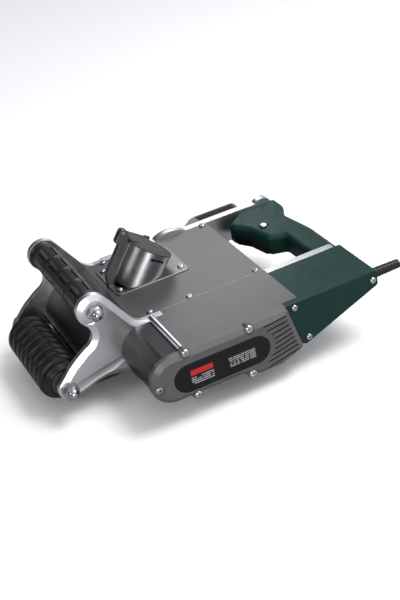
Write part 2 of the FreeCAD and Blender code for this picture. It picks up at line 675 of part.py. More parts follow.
def stator_core():
    core = ring_x(MOTOR_Y, MOTOR_Z, 32.0, 27.0, CORE_X0, CORE_X1)
    poles = rod_x(MOTOR_Y, MOTOR_Z, 27.5, CORE_X0, CORE_X1)
    poles = poles.common(box(CORE_X0, CORE_X1, MOTOR_Y - 40, MOTOR_Y + 40, MOTOR_Z - 12, MOTOR_Z + 12))
    core = core.fuse(poles)
    return core.cut(rod_x(MOTOR_Y, MOTOR_Z, 17.6, -99, 99)).removeSplitter()


def field_coils():
    coils = []
    for sign in (1, -1):
        outer = box(CORE_X0 - 7, CORE_X1 + 7, 18.2, 26.0, -17.5, 17.5)
        inner = box(CORE_X0 - 0.3, CORE_X1 + 0.3, 17, 27, -12.3, 12.3)
        coil = outer.cut(inner).common(rod_x(0, 0, 26.7, -99, 99)).cut(rod_x(0, 0, 18.0, -99, 99))
        coil.translate(V(0, MOTOR_Y, MOTOR_Z))
        if sign < 0:
            coil.rotate(V(0, MOTOR_Y, MOTOR_Z), V(1, 0, 0), 180)
        coils.append(coil)
    return group(coils)


BRUSH_X0, BRUSH_X1 = -59.0, -51.0


def brush_pair(y0, y1, x_pad, z_half):
    pair = []
    for sign in (1, -1):
        ends = sorted((sign * y0, sign * y1))
        block = box(BRUSH_X0 - x_pad, BRUSH_X1 + x_pad, ends[0], ends[1], -z_half, z_half)
        block.translate(V(0, MOTOR_Y, MOTOR_Z))
        pair.append(block)
    return pair


def carbon_brushes():
    return group(brush_pair(11.6, 25.0, 0, 3.5))


def brush_holders():
    return group([outer.cut(inner) for outer, inner in
                  zip(brush_pair(14.0, 31.0, 2.5, 6.0), brush_pair(11.0, 25.2, FIT, 3.5 + FIT))])


def cooling_fan():
    x0, x1 = 130.0, 146.0
    fan = ring_x(MOTOR_Y, MOTOR_Z, 9.0, 5 + FIT, x0, x1).fuse(ring_x(MOTOR_Y, MOTOR_Z, 27.0, 8.5, x0, x0 + 2))
    count = 11
    for i in range(count):
        blade = box(x0 + 1.5, x1, -0.8, 0.8, 8.4, 26.6)
        blade.rotate(V(0, 0, 8.4), V(1, 0, 0), 18)
        blade.rotate(V(0, 0, 0), V(1, 0, 0), 360.0 / count * i)
        blade.translate(V(0, MOTOR_Y, MOTOR_Z))
        fan = fan.fuse(blade)
    return fan.common(rod_x(MOTOR_Y, MOTOR_Z, 27.0, x0, x1))


def motor_cap():
    cap = rod_x(MOTOR_Y, MOTOR_Z, 40.0, -FRAME_OUT - 8.0, -FRAME_OUT)
    cap = cap.makeFillet(4.0, edges_at(cap, "X", -FRAME_OUT - 8.0))
    spigot = rod_x(MOTOR_Y, MOTOR_Z, 34.0, -FRAME_OUT, -FRAME_IN)
    cap = cap.fuse(spigot).cut(rod_x(MOTOR_Y, MOTOR_Z, 30.0, -FRAME_OUT + 1.0, -50))
    cap = cap.fuse(ring_x(MOTOR_Y, MOTOR_Z, 14.0, 10.0, -FRAME_OUT, -FRAME_IN))
    cap = cap.cut(rod_x(MOTOR_Y, MOTOR_Z, 11 + FIT, -96.0, -60))
    return cap.cut(rod_x(MOTOR_Y, MOTOR_Z, 4.5, -97.0, -60)).removeSplitter()


# ---- left air box ---------------------------------------------------------------------
def air_box():
    """Intake box on the left rail, open on top under its grille, with a curved front fairing."""
    x_out = AIR_BOX_X
    shell = slab_z([(-FRAME_OUT, 157.0), (x_out, 176.0, 24.0), (x_out, 243.0, 6.0), (-FRAME_OUT, 243.0)],
                   12.0, TOP_Z - 1.0)
    shell = shell.makeFillet(2.0, edges_at(shell, "Z", 12.0))
    inside = box(x_out + 2.4, -FRAME_OUT - 2.0, 182.0, 240.0, 15.0, TOP_Z + 1)
    return shell.cut(inside).cut(rod_x(MOTOR_Y, MOTOR_Z, BULGE_R + 0.3, -120, -80))


def air_grille():
    x0, x1 = -109.2, -95.2
    y0, y1 = 182.2, 239.8
    grille = box(x0, x1, y0, y1, TOP_Z - 3.4, TOP_Z - 1.0)
    count = 17
    pitch = (y1 - y0 - 4.0) / count
    for i in range(count):
        start = y0 + 2.0 + pitch * (i + 0.25)
        grille = grille.cut(box(x0 + 2.0, x1 - 2.0, start, start + pitch * 0.5, 40, 60))
    return grille


# ---- dust spout -----------------------------------------------------------------------
PIN_DISTANCE = SPOUT_LENGTH + 8.6    # hinge pin, measured along the spout's axis
PIN_BACK = SPOUT_R + 14.4            # and in front of that axis
PIN_R = 2.0
EAR_X0, EAR_X1 = -4.5, 5.0           # outer faces of the hinge ears, from the spout's axis
EAR_T = 2.6
EAR_FOOT = SPOUT_LENGTH - 7.8        # where the ears stand out from the rib
LID_BASE = SPOUT_LENGTH + 0.2
LID_R, LID_EDGE, LID_RISE = SPOUT_R + 0.6, 1.2, 4.0


def to_spout(shape):
    """Move a shape built about the Z axis, with z = distance along the spout, on to the spout."""
    placed = shape.copy()
    placed.rotate(V(0, 0, 0), V(1, 0, 0), -math.degrees(SPOUT_LEAN))
    placed.translate(V(SPOUT_X, SPOUT_Y, TOP_Z))
    return placed


def dust_spout():
    """Leaning tube on a screwed flange, with a bayonet slot and the hinge for its lid."""
    x0, x1, y0, y1 = FLANGE
    flange = slab_z([(x0, y0, 7.0), (x1, y0, 7.0), (x1, y1, 7.0), (x0, y1, 7.0)], TOP_Z, FLANGE_TOP)
    flange = flange.makeFillet(0.8, edges_at(flange, "Z", FLANGE_TOP))
    tube = spout_rod(SPOUT_R, -12, SPOUT_LENGTH).cut(box(-90, 60, -20, 160, -50, TOP_Z))
    spout = fuse_all([flange, tube, hinge_spine()])
    spout = spout.cut(spout_rod(BORE_R, -30, SPOUT_LENGTH + 5))
    spout = spout.cut(bayonet_slot())
    return drill(spout, FLANGE_SCREWS, (0, 0, 1), SHANK_R + FIT, 12)


def ear_pieces():
    """Side view of a hinge ear: a rounded head that stands out from the rib below it."""
    back, top = -PIN_BACK - 4.8, PIN_DISTANCE + 5.0
    return [(back, EAR_FOOT, 4.0), (-SPOUT_R + 3.0, EAR_FOOT), (-SPOUT_R + 3.0, SPOUT_LENGTH - 0.5),
            (-SPOUT_R - 3.5, SPOUT_LENGTH - 0.5), (-SPOUT_R - 5.0, SPOUT_LENGTH + 8.0, 5.0),
            (-SPOUT_R - 9.5, top, 4.0), (back, top, 4.5)]


def hinge_spine():
    """Rib down the front of the spout that ends in two hinge ears."""
    rib = box(EAR_X0, EAR_X1, -PIN_BACK + 2.2, -SPOUT_R + 4.0, -30.0, EAR_FOOT + 2.0)
    ears = [slab_x(ear_pieces(), x, x + EAR_T) for x in (EAR_X0, EAR_X1 - EAR_T)]
    bore = rod_x(-PIN_BACK, PIN_DISTANCE, PIN_R + FIT, EAR_X0 - 2, EAR_X1 + 2)
    spine = to_spout(fuse_all([rib] + ears).cut(bore))
    return spine.cut(box(-90, 60, -60, 160, -50, TOP_Z)).cut(box(-90, 60, -60, FLANGE[2], 0, 100))


def bayonet_slot():
    """Slot round the near side of the tube for a hose adaptor's pin, with a short lead-in."""
    run = box(22.0, 40.0, -7.5, 12.2, SPOUT_LENGTH - 8.6, SPOUT_LENGTH - 6.4)
    lead = box(22.0, 40.0, -7.5, -4.0, SPOUT_LENGTH - 10.0, SPOUT_LENGTH - 6.4)
    return to_spout(run.fuse(lead))


def spout_lid():
    """Shallow domed lid, squared off on its far side, with a cranked arm to the hinge knuckle."""
    crown = LID_BASE + LID_EDGE + LID_RISE
    dome_r = (LID_R ** 2 + LID_RISE ** 2) / (2 * LID_RISE)
    disc = Part.makeCylinder(LID_R, crown - LID_BASE, V(0, 0, LID_BASE))
    disc = disc.common(Part.makeSphere(dome_r, V(0, 0, crown - dome_r)))
    shoulder_top = crown - 0.8
    shoulder = box(-LID_R, EAR_X1 + 3.0, -SPOUT_R - 1.2, 8.0, LID_BASE, shoulder_top)
    shoulder = shoulder.makeFillet(0.8, edges_at(shoulder, "Z", shoulder_top))
    tab = box(-LID_R - 1.0, -LID_R + 4.0, 6.0, 13.0, LID_BASE, crown)
    x0, x1 = EAR_X0 + EAR_T + 0.3, EAR_X1 - EAR_T - 0.3
    knuckle_r = 3.6
    arm = slab_x([(-SPOUT_R + 1.0, LID_BASE), (-SPOUT_R + 1.0, shoulder_top - 0.2),
                  (-PIN_BACK, PIN_DISTANCE + knuckle_r), (-PIN_BACK, PIN_DISTANCE - knuckle_r)], x0, x1)
    lid = fuse_all([disc, shoulder, tab, arm, rod_x(-PIN_BACK, PIN_DISTANCE, knuckle_r, x0, x1)])
    return to_spout(lid.cut(rod_x(-PIN_BACK, PIN_DISTANCE, PIN_R + FIT, -60, 60)))


def lid_pin():
    return to_spout(rod_x(-PIN_BACK, PIN_DISTANCE, PIN_R, EAR_X0 - 0.8, EAR_X1 + 0.8))


# ---- front grip and roller ------------------------------------------------------------
def grip_rod():
    return rod_x(GRIP_Y, GRIP_Z, 5.0, -FRAME_OUT - 11.0, FRAME_OUT + 11.0)


def roller_axle():
    """Axle with a shoulder at each end that sets the roller between the frames."""
    axle = rod_x(ROLLER_Y, ROLLER_Z, 5.0, -FRAME_OUT - 11.0, FRAME_OUT + 11.0)
    shoulder = rod_x(ROLLER_Y, ROLLER_Z, 9.0, ROLLER_HALF + 4.0, FRAME_IN)
    return fuse_all([axle, shoulder, mirror_x(shoulder)])


def front_grip():
    """Rubber sleeve in four segments, parted by raised collars, each with two long recesses."""
    half = FRAME_IN - 0.3
    segments, collar = 4, 3.4
    pitch = 2 * (half - 9.0) / segments
    profile = [(-half, 5.3), (-half, GRIP_R + 1.6), (-half + 4.0, GRIP_R + 2.6), (-half + 9.0, GRIP_R - 1.6)]
    for i in range(segments):
        x0 = -half + 9.0 + pitch * i
        profile += [(x0, GRIP_R - 1.6), (x0 + 1.2, GRIP_R - 0.4), (x0 + pitch - collar - 1.2, GRIP_R - 0.4),
                    (x0 + pitch - collar, GRIP_R - 1.6)]
        if i < segments - 1:
            profile += [(x0 + pitch - collar + 0.4, GRIP_R), (x0 + pitch - 0.4, GRIP_R)]
    profile += [(half - 9.0, GRIP_R - 1.6), (half - 4.0, GRIP_R + 2.6), (half, GRIP_R + 1.6), (half, 5.3)]
    points = [point for i, point in enumerate(profile) if i == 0 or point != profile[i - 1]]
    sleeve = turn_x(points, GRIP_Y, GRIP_Z)
    recesses = []
    for i in range(segments):
        middle = -half + 9.0 + pitch * (i + 0.5) - collar / 2
        for turn in (50, 125, 200, 275, 350):
            recess = box(middle - 11.0, middle + 11.0, -3.2, 3.2, GRIP_R - 2.4, GRIP_R + 3)
            recess.rotate(V(0, 0, 0), V(1, 0, 0), turn)
            recess.translate(V(0, GRIP_Y, GRIP_Z))
            recesses.append(recess)
    return sleeve.cut(group(recesses))


def dome_nut(y, z, side):
    """Acorn nut on the outer face of a side frame."""
    across = 16.5
    corner = across / math.sqrt(3)
    x0 = FRAME_OUT + 1.6
    points = [(y + corner * math.cos(math.radians(60 * i)), z + corner * math.sin(math.radians(60 * i)))
              for i in range(6)]
    hexagon = slab_x(points, x0, x0 + 8.5)
    cone = turn_x([(x0, 0), (x0, corner + 1), (x0 + 6.5, corner + 1), (x0 + 8.6, 7.4), (x0 + 8.6, 0)], y, z)
    dome = Part.makeSphere(7.2, V(x0 + 7.4, y, z)).common(box(x0, x0 + 16, y - 9, y + 9, z - 9, z + 9))
    nut = fuse_all([hexagon.common(cone), dome])
    nut = nut.cut(rod_x(y, z, 5 + FIT, 0, FRAME_OUT + 11.2))
    return nut if side > 0 else mirror_x(nut)


def dome_nuts():
    places = ((GRIP_Y, GRIP_Z), (ROLLER_Y, ROLLER_Z))
    return group([dome_nut(y, z, side) for y, z in places for side in (1, -1)])


def nut_washers():
    rings = []
    for y, z in ((GRIP_Y, GRIP_Z), (ROLLER_Y, ROLLER_Z)):
        washer = ring_x(y, z, 11.0, 5 + FIT, FRAME_OUT, FRAME_OUT + 1.6)
        rings += [washer, mirror_x(washer)]
    return group(rings)


ROLLER_HALF = 73.0


def roller_tyre():
    """Rubber tread with eight rounded ribs grouped two, three, three, and chamfered ends."""
    low, high = ROLLER_R - 4.2, ROLLER_R
    profile = [(-ROLLER_HALF, 17.0), (-ROLLER_HALF, 20.5), (-ROLLER_HALF + 7.0, low)]
    ribs = (2, 3, 3)
    gap, wide_gap = 3.0, 5.4
    total = 2 * ROLLER_HALF - 14.0 - wide_gap * (len(ribs) + 1) - gap * (sum(ribs) - len(ribs))
    rib = total / sum(ribs)
    x = -ROLLER_HALF + 7.0
    for count in ribs:
        x += wide_gap
        for _ in range(count):
            profile += [(x, low), (x + rib * 0.16, high - 1.0), (x + rib * 0.34, high),
                        (x + rib * 0.66, high), (x + rib * 0.84, high - 1.0), (x + rib, low)]
            x += rib + gap
        x -= gap
    profile += [(ROLLER_HALF - 7.0, low), (ROLLER_HALF, 20.5), (ROLLER_HALF, 17.0)]
    return turn_x(profile, ROLLER_Y, ROLLER_Z)


def roller_core():
    """Tube with end caps that carries the tread and the bushes."""
    shell = ring_x(ROLLER_Y, ROLLER_Z, 17.0, 13.0, -ROLLER_HALF, ROLLER_HALF)
    caps = [ring_x(ROLLER_Y, ROLLER_Z, 15.5, 8 + FIT, x, x + 5) for x in (-ROLLER_HALF - 1, ROLLER_HALF - 4)]
    return fuse_all([shell] + caps)


def roller_bushes():
    bush = ring_x(ROLLER_Y, ROLLER_Z, 8.0, 5 + FIT, ROLLER_HALF - 12, ROLLER_HALF + 3.5)
    return group([bush, mirror_x(bush)])


# ---- D-handle -------------------------------------------------------------------------
TRIGGER_X0, TRIGGER_X1 = -52.5, 2.5
TRIGGER_Z0, TRIGGER_Z1 = 18.0, 32.0
TRIGGER_BACK = 250.0
SWITCH_Y = 259.5
BUTTON_X, BUTTON_Y, BUTTON_R = -23.0, 244.6, 4.8

# Corners (x, y, rounding) of the handle's plan: a block on the left rail, the grip behind the
# trigger, a bridge to the right rail, and a pommel on the rear left.
HANDLE_CORNERS = [(-FRAME_IN, 234.0, 0.0), (-64.0, 212.0, 6.0), (-53.0, 213.5, 5.0), (-31.0, 227.0, 14.0),
                  (6.0, 236.0, 5.0), (14.0, 257.0, 8.0), (FRAME_IN, 258.0, 0.0), (FRAME_IN, 294.5, 0.0),
                  (20.0, 294.5, 80.0), (-46.0, 284.0, 16.0), (-61.0, 297.0, 7.0), (-FRAME_IN, 297.0, 0.0)]


def handle_pieces(inset, ends=0.0):
    """Plan of the handle drawn in by inset, and by ends where it meets the two rails."""
    sides = []
    for i, start in enumerate(HANDLE_CORNERS):
        stop = HANDLE_CORNERS[(i + 1) % len(HANDLE_CORNERS)]
        along = V(stop[0] - start[0], stop[1] - start[1], 0).normalize()
        inward = V(-along.y, along.x, 0)
        shift = ends if start[0] == stop[0] else inset
        sides.append((inward, inward.dot(V(start[0], start[1], 0)) + shift))
    pieces = []
    for i, (_, _, rounding) in enumerate(HANDLE_CORNERS):
        (n0, reach0), (n1, reach1) = sides[i - 1], sides[i]
        spread = n0.x * n1.y - n0.y * n1.x
        point = ((reach0 * n1.y - reach1 * n0.y) / spread, (reach1 * n0.x - reach0 * n1.x) / spread)
        pieces.append(point + (rounding,) if rounding else point)
    return pieces


def handle_half(outer_z):
    """Shell from the split plane out to outer_z, with a rounded outer edge."""
    steps = [(HANDLE_SPLIT, 0.0)] + round_over(outer_z, HANDLE_SPLIT, HANDLE_ROUND, 5)
    half = bevelled_z(handle_pieces, steps)
    low, high = sorted((outer_z - math.copysign(4.0, outer_z - HANDLE_SPLIT), HANDLE_SPLIT))
    hollow = slab_z(handle_pieces(6.0, 4.0), low, high)
    return half.cut(hollow).cut(trigger_opening())


def trigger_opening():
    gap = 0.4
    return box(TRIGGER_X0 - gap, TRIGGER_X1 + gap, 205.0, SWITCH_Y + 2, TRIGGER_Z0 - gap, TRIGGER_Z1 + gap)


def handle_upper():
    half = handle_half(HANDLE_Z1)
    half = half.cut(rod_z(BUTTON_X, BUTTON_Y, BUTTON_R + 3.0, HANDLE_Z1 - 1.0, 60))
    return half.cut(rod_z(BUTTON_X, BUTTON_Y, BUTTON_R + FIT, 30, 60))


def handle_lower():
    return handle_half(HANDLE_Z0)


def trigger():
    """Two-finger trigger that slides rearwards into the handle."""
    blade = slab_z([(TRIGGER_X0, TRIGGER_BACK), (TRIGGER_X0, 213.0, 3.0), (-31.0, 225.8, 14.0),
                    (TRIGGER_X1, 232.8, 4.0), (TRIGGER_X1, TRIGGER_BACK)], TRIGGER_Z0, TRIGGER_Z1)
    rims = edges_at(blade, "Z", TRIGGER_Z0) + edges_at(blade, "Z", TRIGGER_Z1)
    return blade.makeFillet(2.5, [e for e in rims if e.BoundBox.YMax < TRIGGER_BACK - 1])


def switch_block():
    return box(-34.0, -4.0, SWITCH_Y, SWITCH_Y + 10, 20.0, 36.0)


def trigger_spring():
    """Return spring between the trigger's back and the switch block."""
    radius, wire, turns = 3.4, 0.9, 5
    start_y = TRIGGER_BACK + 0.7
    length = SWITCH_Y - start_y - 0.8
    helix = Part.makeHelix(length / turns, length, radius)
    start = helix.Vertexes[0].Point
    section = Part.Wire(Part.makeCircle(wire / 2, start, V(0, 1, 0.08)))
    coil = Part.Wire(helix).makePipeShell([section], True, True)
    coil.rotate(V(0, 0, 0), V(1, 0, 0), -90)
    coil.translate(V((TRIGGER_X0 + TRIGGER_X1) / 2, start_y, (TRIGGER_Z0 + TRIGGER_Z1) / 2))
    return coil


def lock_button():
    button = rod_z(BUTTON_X, BUTTON_Y, BUTTON_R, 44.4, HANDLE_Z1 + 3.6)
    return button.makeFillet(1.6, edges_at(button, "Z", HANDLE_Z1 + 3.6))


# ---- rear housing ---------------------------------------------------------------------
def rear_volume(x0, x1, inset):
    """Wedge behind the belt casing: flat top, short rear face, bottom rising to the rear."""
    rear = BOOT_Y0 - inset
    return slab_x([(BODY_REAR + inset, TOP_Z - inset), (BODY_REAR + inset, -12.0 + 1.6 * inset),
                   (rear, 30.0 + 0.8 * inset, 4.0), (rear, TOP_Z - inset, 2.5)], x0, x1)


def rear_housing_inner():
    shell = rear_volume(FRAME_OUT, REAR_SEAM_X, 0)
    return shell.cut(rear_volume(FRAME_OUT + 2.6, REAR_SEAM_X + 1, 2.6))


def rear_housing_outer():
    shell = rear_volume(REAR_SEAM_X, CASE_OUT, 0)
    shell = shell.cut(rear_volume(REAR_SEAM_X - 1, CASE_OUT - 2.6, 2.6))
    cheek = slab_x([(165.2, TOP_Z), (178.6, -8.5), (BODY_REAR, -11.9), (BODY_REAR, TOP_Z)], 167.0, CASE_OUT)
    shell = fuse_all([shell, cheek])
    boot_hole = Part.makeCylinder(5.4, 20, V(BOOT_X, 285, BOOT_Z), V(0, 1, 0))
    shell = shell.cut(boot_hole)
    return drill(shell, REAR_SCREWS, (1, 0, 0), SHANK_R + FIT, 9.0)


def cable_boot():
    """Moulded rubber sleeve where the mains cable leaves, with a neck inside the housing wall."""
    sleeve = Part.makeCone(BOOT_R, BOOT_R - 0.8, BOOT_Y1 - BOOT_Y0, V(BOOT_X, BOOT_Y0, BOOT_Z), V(0, 1, 0))
    sleeve = sleeve.makeFillet(1.0, edges_at(sleeve, "Y", BOOT_Y1))
    neck = Part.makeCylinder(5.3, 6.0, V(BOOT_X, BOOT_Y0 - 5.0, BOOT_Z), V(0, 1, 0))
    return sleeve.fuse(neck).cut(Part.makeCylinder(4.0, 80, V(BOOT_X, 270, BOOT_Z), V(0, 1, 0)))


# ---- fasteners ------------------------------------------------------------------------
def pan_screws():
    """The small screws of the top plate, the spout flange and the rear housing."""
    upright = [screw(p, (0, 0, 1), SCREW_R, SHANK_R, SHANK) for p in PLATE_SCREWS + FLANGE_SCREWS]
    return group(upright + [screw(p, (1, 0, 0), SCREW_R, SHANK_R, SHANK) for p in REAR_SCREWS])


def cover_screws():
    return group([screw(p, (1, 0, 0), COVER_SCREW_R, COVER_SHANK_R, COVER_SHANK - 1) for p in COVER_SCREWS])


NODES = [left_frame, right_frame, top_plate, right_top_panel, cutter_guard, guard_lip,
         chute_wall, sole_plate, motor_pan, gear_casing, edge_tube, side_cover,
         rating_plate, spindle_gear, layshaft_pinion, cutter_spindle, spindle_bearings,
         layshaft_bearings, motor_bearings, cutter_drum, cutter_teeth, drum_spacers, drum_nut,
         layshaft, layshaft_pulley, motor_pulley, drive_belt, armature_shaft, armature_core,
         commutator, stator_core, field_coils, carbon_brushes, brush_holders, cooling_fan, motor_cap,
         air_box, air_grille, dust_spout, spout_lid, lid_pin, grip_rod, front_grip,
         roller_axle, roller_tyre, roller_core, roller_bushes, dome_nuts, handle_upper, handle_lower,
         trigger, trigger_spring, switch_block, lock_button, rear_housing_inner, rear_housing_outer,
         cable_boot, nut_washers, pan_screws, cover_screws]

BOX_MIDDLE_X = (AIR_BOX_X + COVER_OUT + LABEL_T) / 2
BOX_MIDDLE_Y = (ROLLER_Y - ROLLER_R + BOOT_Y1) / 2

os.makedirs("parts", exist_ok=True)
for make in NODES:
    shape = make()
    shape.translate(V(-BOX_MIDDLE_X, -BOX_MIDDLE_Y, CUT_R))
    shape.exportStep(os.path.join("parts", make.__name__ + ".step"))
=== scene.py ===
import json
import math

import bpy
from mathutils import Euler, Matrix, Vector


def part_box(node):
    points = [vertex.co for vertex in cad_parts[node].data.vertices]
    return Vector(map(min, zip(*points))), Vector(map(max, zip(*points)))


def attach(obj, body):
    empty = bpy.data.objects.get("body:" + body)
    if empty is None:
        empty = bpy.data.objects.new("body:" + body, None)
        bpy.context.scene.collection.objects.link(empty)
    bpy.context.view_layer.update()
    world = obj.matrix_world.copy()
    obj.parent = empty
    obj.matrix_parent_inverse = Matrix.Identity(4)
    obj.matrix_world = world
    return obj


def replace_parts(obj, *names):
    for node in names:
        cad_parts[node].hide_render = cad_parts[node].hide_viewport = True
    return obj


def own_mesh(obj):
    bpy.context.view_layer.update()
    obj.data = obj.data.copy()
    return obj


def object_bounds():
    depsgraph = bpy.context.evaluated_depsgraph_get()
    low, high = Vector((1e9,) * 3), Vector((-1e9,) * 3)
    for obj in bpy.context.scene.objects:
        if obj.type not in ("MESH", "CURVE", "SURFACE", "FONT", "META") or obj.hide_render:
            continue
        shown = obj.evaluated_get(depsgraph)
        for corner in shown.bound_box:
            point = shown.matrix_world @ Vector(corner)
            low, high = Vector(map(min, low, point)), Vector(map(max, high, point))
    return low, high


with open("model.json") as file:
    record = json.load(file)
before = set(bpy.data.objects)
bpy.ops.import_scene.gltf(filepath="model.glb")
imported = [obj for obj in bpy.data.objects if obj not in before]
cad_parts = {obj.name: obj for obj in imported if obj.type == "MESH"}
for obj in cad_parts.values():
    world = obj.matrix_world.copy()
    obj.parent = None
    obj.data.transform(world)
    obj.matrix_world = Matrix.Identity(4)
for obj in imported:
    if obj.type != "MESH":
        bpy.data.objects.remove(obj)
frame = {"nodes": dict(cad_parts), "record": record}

CAD_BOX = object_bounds()
NODES = frame["nodes"]
JOINTS = {joint["name"]: joint for joint in frame["record"]["behaviour"]["joints"]}
SPINDLE = Vector(JOINTS["cutter_spin"]["pos_m"])
MM = 0.001


# ---- helpers --------------------------------------------------------------------------
def add_object(name, data):
    made = bpy.data.objects.new(name, data)
    bpy.context.collection.objects.link(made)
    return made


def body_of(node):
    bodies = frame["record"]["behaviour"]["bodies"]
    return next(name for name, nodes in bodies.items() if node in nodes)


def extent(node, axis):
    """Length of a node's box along an axis."""
    low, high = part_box(node)
    return high[axis] - low[axis]


def set_range(node, low, high, out_low, out_high):
    """Make a Map Range node turn low to high into out_low to out_high."""
    limits = {"From Min": low, "From Max": high, "To Min": out_low, "To Max": out_high}
    for key, number in limits.items():
        node.inputs[key].default_value = number


class Shader:
    """A Principled material and short calls that wire procedural detail into it."""

    def __init__(self, name):
        self.material = bpy.data.materials.new(name)
        self.material.use_nodes = True
        self.tree = self.material.node_tree
        self.bsdf = self.tree.nodes["Principled BSDF"]
        self.coords = self.tree.nodes.new("ShaderNodeTexCoord").outputs["Object"]

    def node(self, kind, **settings):
        made = self.tree.nodes.new(kind)
        for key, value in settings.items():
            setattr(made, key, value)
        return made

    def link(self, source, target):
        self.tree.links.new(source, target)

    def stretched(self, scale):
        mapping = self.node("ShaderNodeMapping")
        mapping.inputs["Scale"].default_value = scale
        self.link(self.coords, mapping.inputs["Vector"])
        return mapping.outputs["Vector"]

    def noise(self, scale, detail=3.0, vector=None, roughness=0.55):
        made = self.node("ShaderNodeTexNoise")
        made.inputs["Scale"].default_value = scale
        made.inputs["Detail"].default_value = detail
        made.inputs["Roughness"].default_value = roughness
        self.link(vector or self.coords, made.inputs["Vector"])
        return made.outputs["Fac"]

    def spread(self, value, low, high, out_low=0.0, out_high=1.0):
        made = self.node("ShaderNodeMapRange")
        set_range(made, low, high, out_low, out_high)
        self.link(value, made.inputs["Value"])
        return made.outputs["Result"]

    def patches(self, scale, detail, low, high, out_low=0.0, out_high=1.0):
        """Soft blotches: noise with the stretch from low to high spread over the output range."""
        return self.spread(self.noise(scale, detail), low, high, out_low, out_high)

    def math(self, operation, a, b):
        made = self.node("ShaderNodeMath", operation=operation)
        for socket, value in zip(made.inputs, (a, b)):
            if isinstance(value, (int, float)):
                socket.default_value = value
            else:
                self.link(value, socket)
        return made.outputs["Value"]

    def times(self, a, b):
        return self.math("MULTIPLY", a, b)

    def mix(self, factor, a, b):
        made = self.node("ShaderNodeMix", data_type="RGBA")
        for key, value in (("Factor", factor), ("A", a), ("B", b)):
            socket = made.inputs[key]
            if isinstance(value, (int, float)):
                socket.default_value = value
            elif isinstance(value, tuple):
                socket.default_value = (*value, 1.0)
            else:
                self.link(value, socket)
        return made.outputs["Result"]

    def edge_mask(self, radius):
        """1 on convex and concave edges, 0 on flat ground."""
        bevel = self.node("ShaderNodeBevel", samples=4)
        bevel.inputs["Radius"].default_value = radius
        geometry = self.node("ShaderNodeNewGeometry")
        dot = self.node("ShaderNodeVectorMath", operation="DOT_PRODUCT")
        self.link(bevel.outputs["Normal"], dot.inputs[0])
        self.link(geometry.outputs["Normal"], dot.inputs[1])
        return self.spread(dot.outputs["Value"], 0.995, 0.86)

    def rounded_normal(self, radius):
        bevel = self.node("ShaderNodeBevel", samples=4)
        bevel.inputs["Radius"].default_value = radius
        return bevel.outputs["Normal"]

    def bump(self, height, distance, normal=None):
        made = self.node("ShaderNodeBump")
        made.inputs["Strength"].default_value = 1.0
        made.inputs["Distance"].default_value = distance
        self.link(height, made.inputs["Height"])
        if normal:
            self.link(normal, made.inputs["Normal"])
        return made.outputs["Normal"]

    def finish(self, colour, roughness, normal, metallic=0.0, coat=0.0, specular=0.5):
        for key, value in (("Base Color", colour), ("Roughness", roughness), ("Normal", normal)):
            if isinstance(value, tuple):
                self.bsdf.inputs[key].default_value = (*value, 1.0)
            elif isinstance(value, float):
                self.bsdf.inputs[key].default_value = value
            else:
                self.link(value, self.bsdf.inputs[key])
        self.bsdf.inputs["Metallic"].default_value = metallic
        self.bsdf.inputs["Coat Weight"].default_value = coat
        self.bsdf.inputs["Specular IOR Level"].default_value = specular
        return self.material


# ---- materials ------------------------------------------------------------------------
def metal(name, light, dark, rough, rough_spread=0.08, grain=700.0, depth=0.02 * MM, stretch=(1, 1, 1),
          edge=0.5 * MM, edge_colour=None):
    """Bare or plated metal: mottled tone and fine machining or casting grain.

    With an edge_colour, its edges are worn bright in patches.
    """
    shade = Shader(name)
    mottle = shade.noise(22.0, 4.0)
    fine = shade.noise(grain, 2.0, shade.stretched(stretch))
    tone = shade.mix(shade.spread(mottle, 0.35, 0.65), dark, light)
    tone = shade.mix(shade.times(shade.spread(fine, 0.3, 0.7), 0.25), tone, dark)
    if edge_colour:
        worn = shade.times(shade.edge_mask(edge * 1.6), shade.patches(260.0, 3.0, 0.38, 0.6))
        tone = shade.mix(shade.times(worn, 0.7), tone, edge_colour)
    half_spread = rough_spread / 2
    roughness = shade.patches(90.0, 4.0, 0.3, 0.7, rough - half_spread, rough + half_spread)
    normal = shade.bump(fine, depth, shade.rounded_normal(edge))
    return shade.finish(tone, roughness, normal, metallic=1.0)


def satin_paint(name, light, dark, rough, metallic, bare, wear):
    """Sprayed paint with orange peel, dust speckle and bare metal where the edges have rubbed."""
    shade = Shader(name)
    mottle = shade.noise(9.0, 4.0)
    tone = shade.mix(shade.spread(mottle, 0.3, 0.7), dark, light)
    flake = shade.patches(3200.0, 1.0, 0.55, 0.75, 0.0, 0.22)
    tone = shade.mix(flake, tone, tuple(min(1.0, c * 1.9) for c in light))
    edges = shade.edge_mask(0.9 * MM)
    broken = shade.patches(330.0, 4.0, 0.46, 0.62)
    tone = shade.mix(shade.times(shade.times(edges, broken), wear), tone, bare)
    roughness = shade.patches(60.0, 5.0, 0.25, 0.75, rough - 0.02, rough + 0.02)
    normal = shade.bump(shade.noise(520.0, 2.0), 0.035 * MM, shade.rounded_normal(0.5 * MM))
    return shade.finish(tone, roughness, normal, metallic=metallic)


def moulded(name, light, dark, rough, grain=1500.0, depth=0.05 * MM, edge=0.5 * MM, scuff=None,
            shine=0.18):
    """Moulded plastic or rubber: spark-eroded grain, faint tone variation, scuffed edges."""
    shade = Shader(name)
    tone = shade.mix(shade.patches(14.0, 3.0, 0.3, 0.7), dark, light)
    if scuff:
        rubbed = shade.times(shade.edge_mask(1.1 * MM), shade.patches(240.0, 4.0, 0.42, 0.64))
        tone = shade.mix(shade.times(rubbed, 0.6), tone, scuff)
    grain_height = shade.noise(grain, 2.0)
    roughness = shade.patches(75.0, 4.0, 0.3, 0.7, rough - 0.07, rough + 0.07)
    normal = shade.bump(grain_height, depth, shade.rounded_normal(edge))
    return shade.finish(tone, roughness, normal, specular=shine)


